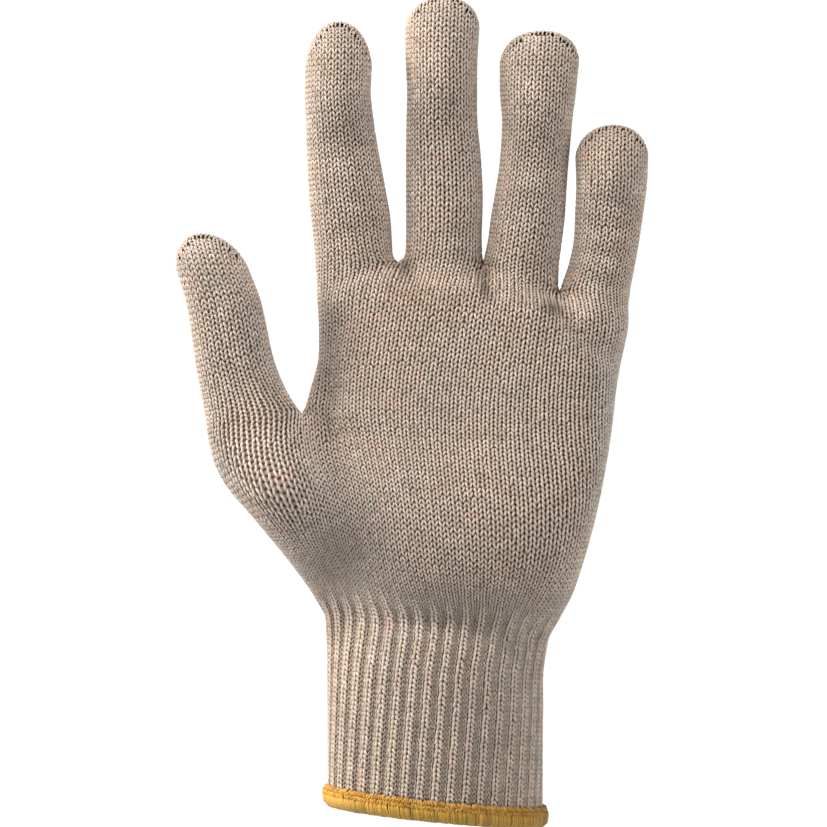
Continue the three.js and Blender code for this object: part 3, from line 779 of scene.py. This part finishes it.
def with_knots_and_painted_shading(colours, nodes):
    """Stitch colours with the dark knots between the fingers and the soft patches of painted light and painted shade
    on the front.
    """
    middle = (nodes[:, :-1] + nodes[:, 1:]) / 2
    middle = (middle + np.roll(middle, -1, axis=0)) / 2
    x, y, z = middle[..., 0], middle[..., 1], middle[..., 2]
    front = np.clip((2 - y) / 6, 0, 1)
    for across, height, wide, high, factor in KNOTS_AND_PAINTED_SHADING:
        share = front * np.exp(-((x - across) / wide) ** 2 - ((z - height) / high) ** 2)
        colours = colours * (1 - share[..., None] * (1 - np.array(factor)))
    return np.clip(colours, 0.02, 0.95)


def blend_paths(plain, other, share):
    """A leg's path between two, with a share for each stitch."""
    return [tuple(a * (1 - share) + b * share for a, b in zip(low, high)) for low, high in zip(plain, other)]


def knit_stitches(knit, nodes, normals, valid, colours, paths=(LEG_PATH, LEG_PATH), lift=0.0, wide=YARN_WIDE):
    """Two legs of yarn in each valid cell; lift raises a stitch."""
    cells, cell_normals = cell_frames(nodes, normals)
    wales, courses = valid.shape
    pitch = np.linalg.norm(cells[1] - cells[0], axis=-1)
    steep = np.minimum(1, (STEEP_FROM / np.maximum(pitch, 0.1)) ** 2)
    for mirrored in (False, True):
        jitter = rng.normal(0, LEG_WOBBLE, (wales, courses, 2))
        rings, ring_normals = [], []
        for u, v, height in paths[mirrored]:
            u = 0.25 + (u - 0.25) * steep
            u = 1 - u if mirrored else u
            uu = u + jitter[..., 0] * 0.6
            vv = v + jitter[..., 1]
            normal = unit(blend_cells(cell_normals, uu, vv))
            high = np.broadcast_to(height + lift, (wales, courses))
            rings.append(blend_cells(cells, uu, vv) + normal * high[..., None])
            ring_normals.append(normal)
        line = np.stack(rings, axis=2)
        up = np.stack(ring_normals, axis=2)
        half_wide = (np.clip(pitch, 0.9, THICK_TO) * wide)[..., None] * LEG_WIDTHS
        half_tall = np.full_like(half_wide, YARN_TALL)
        strips = yarn_strips(line, up, half_wide, half_tall)
        shape = strips.shape[:-1]
        # painted shade: the legs darker at their deep ends and at their sides
        shade = (LEG_SHADE[:, None] * LEG_SIDE_SHADE)[..., None]
        colour = np.broadcast_to(colours[:, :, None, None, :], shape + (3,)) * shade
        ring_share = np.linspace(0.06, 0.94, LEG_RINGS)[None, None, :, None]
        side_share = np.linspace(0.04, 0.46, LEG_SIDES)[None, None, None, :] + (0.5 if mirrored else 0)
        wale = np.arange(wales)[:, None, None, None]
        course = np.arange(courses)[None, :, None, None]
        place = np.stack(np.broadcast_arrays((wale + side_share) / wales, (course + 1 - ring_share) / courses),
                         axis=-1)
        along = np.stack(np.broadcast_arrays(course + ring_share, side_share * 2), axis=-1)
        along = np.broadcast_to(along, shape + (2,))
        place = np.broadcast_to(place, shape + (2,))
        knit.append((strips[valid], colour[valid], place[valid], along[valid]))


def ground_mesh(name, nodes, normals, dark=1.0):
    """The knit's inner layer: two faces of a thin sheet under the stitches, dark with painted shade, with a
    place in its cell for each corner."""
    wales, rows = nodes.shape[:2]
    outer = nodes - normals * GROUND_DEPTH * GROUND_TOP
    inner = nodes - normals * WALL * GROUND_UNDER
    verts = np.concatenate([outer.reshape(-1, 3), inner.reshape(-1, 3)])
    number = np.arange(wales * rows).reshape(wales, rows)
    right = np.roll(number, -1, axis=0)
    a, b, c, d = (g.ravel() for g in (number[:, :-1], right[:, :-1], right[:, 1:], number[:, 1:]))
    faces = np.stack([a, b, c, d], axis=1)
    lower = np.stack([a, d, c, b], axis=1) + wales * rows
    tone = 1 + 0.06 * rng.standard_normal((wales, rows))
    tone = (tone * dark).reshape(-1, 1)
    colours = np.clip(SHADED_GROUND * np.concatenate([tone, tone]), 0, 1)
    wale, course = (g.reshape(-1, 1) for g in np.indices((wales, rows - 1)))
    upper_cells = np.stack([wale + np.array([0, 1, 1, 0]), course + np.array([0, 0, 1, 1])], axis=-1)
    lower_cells = np.stack([wale + np.array([0, 0, 1, 1]), course + np.array([0, 1, 1, 0])], axis=-1)
    sheet = make_mesh(name, verts, np.concatenate([faces, lower]), colours,
                      {"Cells": np.concatenate([upper_cells, lower_cells])})
    weld = bmesh.new()          # wales that run out at a tip share their points
    weld.from_mesh(sheet.data)
    bmesh.ops.remove_doubles(weld, verts=weld.verts, dist=1e-7)
    weld.to_mesh(sheet.data)
    weld.free()
    return sheet


# Materials
def add_node(tree, kind, inputs=None, **settings):
    """Adds a node. An input given as another node's output is linked, and any other is set."""
    node = tree.nodes.new("ShaderNode" + kind)
    for name, value in settings.items():
        setattr(node, name, value)
    fill_inputs(tree, node, inputs or {})
    return node


def fill_inputs(tree, node, inputs):
    for socket, value in inputs.items():
        if isinstance(value, bpy.types.NodeSocket):
            tree.links.new(value, node.inputs[socket])
        else:
            node.inputs[socket].default_value = value


def new_material(name, inputs):
    """A material whose shader has these constant inputs."""
    material = bpy.data.materials.new(name)
    material.use_nodes = True
    shader = material.node_tree.nodes["Principled BSDF"]
    fill_inputs(material.node_tree, shader, inputs)
    return material, material.node_tree, shader


def noise_of(tree, coords, scale, detail):
    return add_node(tree, "TexNoise", {"Scale": scale, "Detail": detail, "Vector": coords}).outputs["Fac"]


def yarn_material(name, roughness=0.92, sheen=0.25, twist=0.35):
    """Mottled yarn with fine fibres, a slow drift of hue and a twist along the strand."""
    material, tree, shader = new_material(name, {
        "Roughness": roughness, "Specular IOR Level": 0.18, "Sheen Weight": sheen, "Sheen Roughness": 0.55,
        "Sheen Tint": (0.95, 0.9, 0.84, 1)})
    colour = add_node(tree, "Attribute", attribute_name="YarnColour").outputs["Color"]
    coords = add_node(tree, "TexCoord").outputs["Object"]
    both = add_node(tree, "Math", {0: noise_of(tree, coords, 2600, 3), 1: noise_of(tree, coords, 160, 2)},
                    operation="ADD")
    tone = add_node(tree, "MapRange", {"From Min": 0.6, "From Max": 1.4, "To Min": 0.86, "To Max": 1.12,
                                       "Value": both.outputs[0]})
    toned = add_node(tree, "VectorMath", {0: colour, "Scale": tone.outputs["Result"]}, operation="SCALE")
    spread = add_node(tree, "MapRange", {"From Min": 0.35, "From Max": 0.65, "Value": noise_of(tree, coords, 70, 2)})
    hue = add_node(tree, "Mix", {"Factor": spread.outputs["Result"], "A": (0.98, 0.993, 1.008, 1),
                                 "B": (1.02, 0.996, 0.97, 1)}, data_type="RGBA")
    hued = add_node(tree, "VectorMath", {0: toned.outputs["Vector"], 1: hue.outputs["Result"]},
                    operation="MULTIPLY")
    strand = add_node(tree, "UVMap", uv_map="Yarn").outputs["UV"]
    wave = add_node(tree, "TexWave", {"Scale": 1.6, "Distortion": 1.5, "Vector": strand},
                    bands_direction="DIAGONAL")
    bump = add_node(tree, "Bump", {"Strength": twist, "Distance": 0.0001, "Height": wave.outputs["Fac"]})
    fill_inputs(tree, shader, {"Base Color": hued.outputs["Vector"], "Normal": bump.outputs["Normal"]})
    return material


HOLE_PLACE = 0.8               # height of the holes between wales in a course
# Factors of the inner layer's colour between the holes and in them; the dark one is painted shade
HOLE_LIGHT, HOLE_SHADE = (2.0, 2.25, 2.55), (0.5, 0.47, 0.42)


def ground_material(name):
    """The inner layer, with painted shade in holes that lie in a staggered lattice: between two wales at one
    height, and inside a stitch half a course off it."""
    material, tree, shader = new_material(name, {"Roughness": 0.97, "Specular IOR Level": 0.1})
    colour = add_node(tree, "Attribute", attribute_name="YarnColour").outputs["Color"]
    coords = add_node(tree, "TexCoord").outputs["Object"]
    cells = add_node(tree, "UVMap", uv_map="Cells").outputs["UV"]
    split = add_node(tree, "SeparateXYZ", {0: cells})
    waves = []
    for axis, shift in (("X", 0.0), ("Y", HOLE_PLACE)):
        turn = add_node(tree, "Math", {0: split.outputs[axis], 1: 2 * math.pi, 2: -2 * math.pi * shift},
                        operation="MULTIPLY_ADD")
        waves.append(add_node(tree, "Math", {0: turn.outputs[0]}, operation="COSINE").outputs[0])
    hole = add_node(tree, "Math", {0: waves[0], 1: waves[1]}, operation="MULTIPLY")
    tone = add_node(tree, "MapRange", {"From Min": -0.35, "From Max": 0.75, "Value": hole.outputs[0]})
    factor = add_node(tree, "Mix", {4: HOLE_LIGHT, 5: HOLE_SHADE, 0: tone.outputs["Result"]}, data_type="VECTOR")
    shaded = add_node(tree, "VectorMath", {0: colour, 1: factor.outputs[1]}, operation="MULTIPLY")
    bump = add_node(tree, "Bump", {"Strength": 0.5, "Distance": 0.0003, "Height": noise_of(tree, coords, 900, 3)})
    fill_inputs(tree, shader, {"Base Color": shaded.outputs["Vector"], "Normal": bump.outputs["Normal"]})
    return material


yarn = yarn_material("yarn")
ground = ground_material("ground")
pieces = []


def dress(thing, material, slot, *replaced):
    thing.data.materials.append(material)
    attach(thing, "root")
    if replaced:
        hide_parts(*replaced)
    pieces.append(thing)


def tip_seam(knit, dome_point):
    """Bars of yarn across the seam that closes a fingertip."""
    fine = np.linspace(-0.995, 0.995, 400)
    line = dome_point(fine, seam_turn(fine))
    length = np.concatenate([[0], np.cumsum(np.linalg.norm(np.diff(line, axis=0), axis=1))])
    count = int(length[-1] / SEAM_PITCH)
    across = np.interp((np.arange(count) + 0.5 + rng.normal(0, 0.08, count)) * length[-1] / count, length, fine)
    e = 0.02
    turn = seam_turn(across)
    spot = dome_point(across, turn)
    over = unit(dome_point(across, turn + e) - spot)
    beside = dome_point(across + e, turn) - dome_point(across - e, turn)
    normal = unit(np.cross(beside, over))
    beside = unit(beside)
    spot = pressed(spot)
    path = np.stack([spot + over * along + beside * slant + normal * height
                     for along, slant, height in SEAM_PATH], axis=1)
    tone = 1.08 + 0.08 * rng.standard_normal((count, 1, 1, 1))
    # painted shade at the bars' ends, where they dive into the seam
    shade = np.array([0.6, 1.0, 1.0, 0.6])[None, :, None, None]
    ring = np.linspace(0.1, 0.9, len(SEAM_PATH))
    add_threads(knit, path, normal[:, None, :] + 0 * path, SEAM_BAR_HALF, BASE * tone * shade, ring * 2,
                SEAM_MAP_TOP + ring * 0.02, np.linspace(0.1, 0.9, LEG_SIDES))


# Fingers and thumb
for name, digit in digits.items():
    nodes = digit["nodes"]
    normals = lattice_normals(nodes, 2)
    valid = digit["valid"]
    knit = []
    top = nodes[..., 2].max()
    tight = smooth_step((nodes[:, :-1, 2] - top + TIP_ZONE) / TIP_FADE)
    colours = with_knots_and_painted_shading(stitch_colours(*valid.shape), nodes)
    knit_stitches(knit, nodes, normals, valid, colours, wide=YARN_WIDE * (1 + TIP_TIGHT * tight))
    tip_seam(knit, digit["dome_point"])
    node = name if name == "thumb" else name + "_finger"
    dress(mesh_of_knit(node + "_knit", knit), yarn, "yarn", node)
    # painted shade of the inner layer, with less of it towards the tip
    dark = digit["dark"] * (1 + 0.8 * smooth_step((nodes[..., 2] - top + TIP_ZONE) / TIP_FADE))
    dress(ground_mesh(node + "_ground", nodes, normals, dark), ground, "yarn")


# Ribs
def rib_nodes(nodes, normals, fade, relief):
    """Widens every rib and sinks the middle of the groove beside it, by a fade for each row."""
    after = np.roll(nodes, -1, axis=0)
    widen = RIB_SHARE * RIB_EVERY - 1
    made = nodes.copy()
    fade = fade[None, :, None]
    groove = RIB_GROOVE * fade * relief[2::RIB_EVERY, None, None]
    made[1::RIB_EVERY] += (after - nodes)[1::RIB_EVERY] * widen * fade
    made[2::RIB_EVERY] += (after - nodes)[2::RIB_EVERY] * widen / 2 * fade - normals[2::RIB_EVERY] * groove
    return made


def rib_looks(wales, fade, relief):
    """Lift, yarn width, colour factor and paths of stitches under ribs, by a fade for each course; the colour factor
    is painted light on the ribs and painted shade on the sunken wales between them.
    """
    rib = np.arange(wales)[:, None] % RIB_EVERY == 0
    fade = np.broadcast_to(fade[None, :], (wales, len(fade)))
    wide = YARN_WIDE + (RIB_YARN_WIDE - YARN_WIDE) * fade
    # painted light on the raised ribs and painted shade on the sunken wales between them
    tone = np.where(rib, 1.05, 0.89) ** (fade * relief[:, None])
    share = np.where(rib, fade, 0)
    paths = (blend_paths(LEG_PATH, RIB_LEFT, share), blend_paths(LEG_PATH, RIB_RIGHT, share))
    lift = np.where(rib, RIB_RISE, 0) * fade * relief[:, None]
    return {"lift": lift, "wide": wide, "paths": paths}, tone[..., None]


# Palm and cuff are made as one lattice: the cuff's rows turn round as they go down, so that the ribs lean,
# and the ribs die out in the palm's lowest rows
cuff_rows = []
for share in np.linspace(0, 1, CUFF_COURSES + 1):
    height = CUFF_BASE + (WRIST_HEIGHT - CUFF_BASE) * share
    ring = tube_ring(palm_table, height, CUFF_SLOPE, ALL_WALES)
    pitch = np.linalg.norm(ring[ALL_WALES // 2 + 1] - ring[ALL_WALES // 2])
    place = (np.arange(2 * ALL_WALES) - RIB_LEAN * (WRIST_HEIGHT - height) / pitch) % (2 * ALL_WALES)
    before = place.astype(int)
    part = (place - before)[:, None]
    cuff_rows.append(pressed(ring[before] * (1 - part) + np.roll(ring, -1, axis=0)[before] * part))
hand = np.concatenate([np.stack(cuff_rows, axis=1)[:, :-1], palm5], axis=1)
ease = np.exp(-((np.arange(hand.shape[1]) - CUFF_COURSES) / WRIST_EASE_ROWS) ** 2)[None, :, None]
ease[:, [0, -1]] = 0
for _ in range(WRIST_EASE_STEPS):
    padded = np.concatenate([hand[:, :1], hand, hand[:, -1:]], axis=1)
    hand = hand + ease * 0.5 * ((padded[:, 2:] + padded[:, :-2]) / 2 - hand)
near = slice(CUFF_COURSES - EASED_BELOW, CUFF_COURSES + EASED_ABOVE)
hand[:, near] = hand[:, near] * (1 - ease[:, near]) + settle(hand[:, near], 3) * ease[:, near]
hand_fade = smooth_step(1 - (np.arange(hand.shape[1]) - CUFF_COURSES) / RIB_FADE_ROWS)
rib_relief = 1 - RIB_EASE * smooth_step((hand[:, CUFF_COURSES // 2, 0] + 6) / 28)
hand = rib_nodes(hand, lattice_normals(hand, 2), hand_fade, rib_relief)
cuff, palm5 = hand[:, :CUFF_COURSES + 1], hand[:, CUFF_COURSES:]
palm5_fade = hand_fade[CUFF_COURSES:]
palm5_looks, palm5_rib_shade = rib_looks(2 * ALL_WALES, (palm5_fade[1:] + palm5_fade[:-1]) / 2, rib_relief)
# Each part of the palm: nodes, normals, stitch colours and looks
palm_parts = {
    "palm5": (palm5, lattice_normals(palm5, 2),
              with_knots_and_painted_shading(stitch_colours(2 * ALL_WALES, PALM5_COURSES) * palm5_rib_shade, palm5), palm5_looks),
    "palm4": (palm4, lattice_normals(palm4, 2),
              with_knots_and_painted_shading(stitch_colours(2 * HAND_WALES, PALM4_COURSES), palm4), {}),
}
for face, replaced in (("front", ["palm"]), ("back", [])):
    knit = []
    for nodes, normals, colours, looks in palm_parts.values():
        wales, courses = colours.shape[:2]
        valid = np.zeros((wales, courses), bool)
        valid[:wales // 2] = face == "front"
        valid[wales // 2:] = face == "back"
        knit_stitches(knit, nodes, normals, valid, colours, **looks)
    dress(mesh_of_knit("palm_" + face + "_knit", knit), yarn, "yarn", *replaced)
for key, (nodes, normals, *_) in palm_parts.items():
    dress(ground_mesh(key + "_ground", nodes, normals), ground, "yarn")

# Cuff
cuff_normals = lattice_normals(cuff, 1)
cuff_looks, cuff_rib_shade = rib_looks(2 * ALL_WALES, np.ones(CUFF_COURSES), rib_relief)
cuff_colours = with_knots_and_painted_shading(stitch_colours(2 * ALL_WALES, CUFF_COURSES) * cuff_rib_shade, cuff)
knit = []
knit_stitches(knit, cuff, cuff_normals, np.ones((2 * ALL_WALES, CUFF_COURSES), bool), cuff_colours, **cuff_looks)
dress(mesh_of_knit("cuff_knit", knit), yarn, "rib_yarn", "cuff")
dress(ground_mesh("cuff_ground", cuff, cuff_normals), ground, "rib_yarn")

# Hem: yellow threads side by side over the cuff's edge, with two rows of loops along the top
THREADS = 470
THREAD_HALF, LOOP_HALF = 0.35, 0.25     # half widths
THREAD_UNEVEN = 0.15           # how much the threads differ in tone
HEM_TURNS = 6                  # how far the yarn runs over the map's height
HEM_PROFILE = [(1.15, 5.1), (2.0, 4.2), (2.35, 2.7), (2.1, 1.1), (1.0, 0.0), (-0.6, -0.15), (-1.9, 0.7),
               (-2.3, 2.4), (-2.0, 4.6)]
GOLD = np.array([0.60, 0.335, 0.050])
ORANGE = np.array([0.46, 0.19, 0.030])


def hem_points(angle, out, up):
    x = (CUFF_HALF_WIDTH + out) * np.cos(angle)
    y = (CUFF_HALF_DEPTH + out) * np.sin(angle)
    return np.stack([x, y, up + CUFF_SLOPE * x], axis=-1)


def hem_shade(path):
    """Painted shade on the hem's thread, darker towards the little finger."""
    return np.interp(path[:, 0, 0], [-32, 0, 32], [1.06, 0.74, 0.56])[:, None, None, None]


def hem_threads():
    """Threads that run from the top of the hem's outside, under the cuff's edge and up inside."""
    angle = np.linspace(0, 2 * math.pi, THREADS, endpoint=False) + rng.normal(0, 0.003, THREADS)
    profile = np.array(HEM_PROFILE)
    slant = np.linspace(-0.022, 0.020, len(profile))
    sway = 1 + 0.32 * rng.standard_normal(THREADS)
    bulge = 0.12 * rng.standard_normal(THREADS)
    path = np.stack([hem_points(angle + s * sway, out + bulge * 0.6, up + bulge * 0.5) for (out, up), s in
                     zip(profile, slant)], axis=1)
    middle = np.stack([hem_points(angle, -0.3 + 0 * angle, 2.6 + 0 * angle)] * len(profile), axis=1)
    tone = hem_shade(path) * (1 + THREAD_UNEVEN * rng.standard_normal((THREADS, 1, 1, 1)))
    # painted shade: the threads darker from the hem's bulge down under the cuff's edge and up inside
    low = np.interp(np.arange(len(profile)), [0, 2, 4, 8], [1.0, 1.0, 0.62, 0.55])[None, :, None, None]
    ring = np.linspace(0.02, 0.80, len(profile))
    knit = []
    add_threads(knit, path, unit(path - middle), THREAD_HALF, GOLD * tone * low, ring * HEM_TURNS, ring,
                np.linspace(0.1, 0.9, LEG_SIDES))
    return knit


def hem_loops(knit, count, low, high, mix, map_from):
    """A row of loops of thread, each an inverted V from low to high, both (out, up)."""
    angle = np.linspace(0, 2 * math.pi, count, endpoint=False) + rng.normal(0, 0.15, count) * 2 * math.pi / count
    step = 2 * math.pi / count
    rise = rng.normal(0, 0.18, count)
    for sign in (-1, 1):
        path = np.stack([
            hem_points(angle + sign * 0.04 * step, high[0] - 0.9, high[1] + rise),
            hem_points(angle + sign * 0.16 * step, high[0], high[1] - 0.3 + rise),
            hem_points(angle + sign * 0.46 * step, low[0], low[1] + 0.25 + 0 * angle),
            hem_points(angle + sign * 0.58 * step, low[0] - 0.7, low[1] + 0 * angle)], axis=1)
        normal = np.stack([np.cos(angle), np.sin(angle), 0 * angle], axis=-1)[:, None, :] + 0 * path
        tone = hem_shade(path) * (1 + THREAD_UNEVEN * rng.standard_normal((count, 1, 1, 1)))
        share = np.clip(mix + 0.3 * rng.standard_normal((count, 1, 1, 1)), 0, 1)
        ring = np.linspace(map_from, map_from + 0.07, 4)
        side = np.linspace(0.05, 0.45, LEG_SIDES) + (0.5 if sign > 0 else 0)
        add_threads(knit, path, normal, LOOP_HALF, (GOLD * (1 - share) + ORANGE * share) * tone,
                    ring * HEM_TURNS, ring, side)


hem_knit = hem_threads()
hem_loops(hem_knit, 210, (2.3, 4.4), (1.9, 5.7), 0.45, 0.82)
hem_loops(hem_knit, 150, (2.6, 3.2), (2.5, 4.5), 0.35, 0.91)
hem_yarn = yarn_material("hem_yarn", roughness=0.7, sheen=0.15, twist=0.4)
dress(mesh_of_knit("hem_overlock", hem_knit), hem_yarn, "hem_yarn", "hem")

# Camera: at the photograph's angle, level and far away
PX = 0.2912                    # millimetres a pixel at the glove
FRAME_PX = 827
MOUTH_PX = (435.5, 815.0)      # where the cuff's mouth centre lies in the photograph
CAMERA_FAR = 1340.0
frame_x = (FRAME_PX / 2 - MOUTH_PX[0]) * PX
frame_z = (MOUTH_PX[1] - FRAME_PX / 2) * PX
camera = bpy.data.objects.new("camera", bpy.data.cameras.new("camera"))
camera.data.sensor_width = 36
camera.data.lens = 36 * CAMERA_FAR / (FRAME_PX * PX)
camera.location = Vector((frame_x, -CAMERA_FAR, frame_z)) * MM
camera.rotation_euler = (math.pi / 2, 0, 0)
bpy.context.scene.collection.objects.link(camera)
bpy.context.scene.camera = camera

# Floor and light
FLOOR_Z = -0.45                # metres, as are the places of the lights
FLOOR_HALF = 4.0
floor_mesh = bpy.data.meshes.new("floor")
floor_mesh.from_pydata([(x * FLOOR_HALF, y * FLOOR_HALF, FLOOR_Z) for x, y in ((-1, -1), (1, -1), (1, 1), (-1, 1))],
                       [], [(0, 1, 2, 3)])
floor = bpy.data.objects.new("floor", floor_mesh)
bpy.context.scene.collection.objects.link(floor)
floor.data.materials.append(new_material("floor", {"Base Color": (0.92, 0.92, 0.92, 1), "Roughness": 0.8})[0])


def area_light(name, place, target, size, power, colour=(1, 1, 1)):
    data = bpy.data.lights.new(name, "AREA")
    data.size = size
    data.energy = power
    data.color = colour
    lamp = bpy.data.objects.new(name, data)
    lamp.location = place
    lamp.rotation_euler = (Vector(target) - Vector(place)).to_track_quat("-Z", "Y").to_euler()
    bpy.context.scene.collection.objects.link(lamp)


GLOVE_MIDDLE = (0.0, 0.0, 0.12)
area_light("key", (-0.30, -0.42, 0.80), GLOVE_MIDDLE, 0.24, 6.5, (1.0, 0.975, 0.94))
area_light("side", (-1.02, -0.22, 0.68), GLOVE_MIDDLE, 0.40, 19, (1.0, 0.98, 0.95))
area_light("fill", (1.30, -0.98, 0.30), GLOVE_MIDDLE, 0.8, 14, (0.93, 0.965, 1.0))
area_light("back", (0.3, 1.5, 0.9), GLOVE_MIDDLE, 1.2, 8)
# The floor's own lights hang over it on all four sides, pointing straight down
for name, x, y, height, power in (("floor_back", 0.0, 2.3, 1.1, 24), ("floor_front", 0.0, -3.0, 1.0, 12),
                                  ("floor_left", -2.6, 0.0, 1.0, 15), ("floor_right", 2.6, 0.0, 1.0, 13)):
    area_light(name, (x, y, height), (x, y, FLOOR_Z), 1.8, power)

world = bpy.data.worlds.new("world")
bpy.context.scene.world = world
world.use_nodes = True
tree = world.node_tree
tree.nodes.clear()
# White paper behind the glove, and a faint light from all round
paper = add_node(tree, "Background", {"Color": (1, 1, 1, 1), "Strength": 1.05})
studio = add_node(tree, "Background", {"Color": (0.93, 0.96, 1.0, 1), "Strength": 0.065})
seen = add_node(tree, "LightPath").outputs["Is Camera Ray"]
pick = add_node(tree, "MixShader", {"Fac": seen, 1: studio.outputs["Background"], 2: paper.outputs["Background"]})
add_node(tree, "OutputWorld", {"Surface": pick.outputs["Shader"]})
bpy.context.scene.view_settings.view_transform = "Standard"

for piece in pieces:
    triangles = sum(len(p.vertices) - 2 for p in piece.data.polygons)
    print(piece.name, triangles)
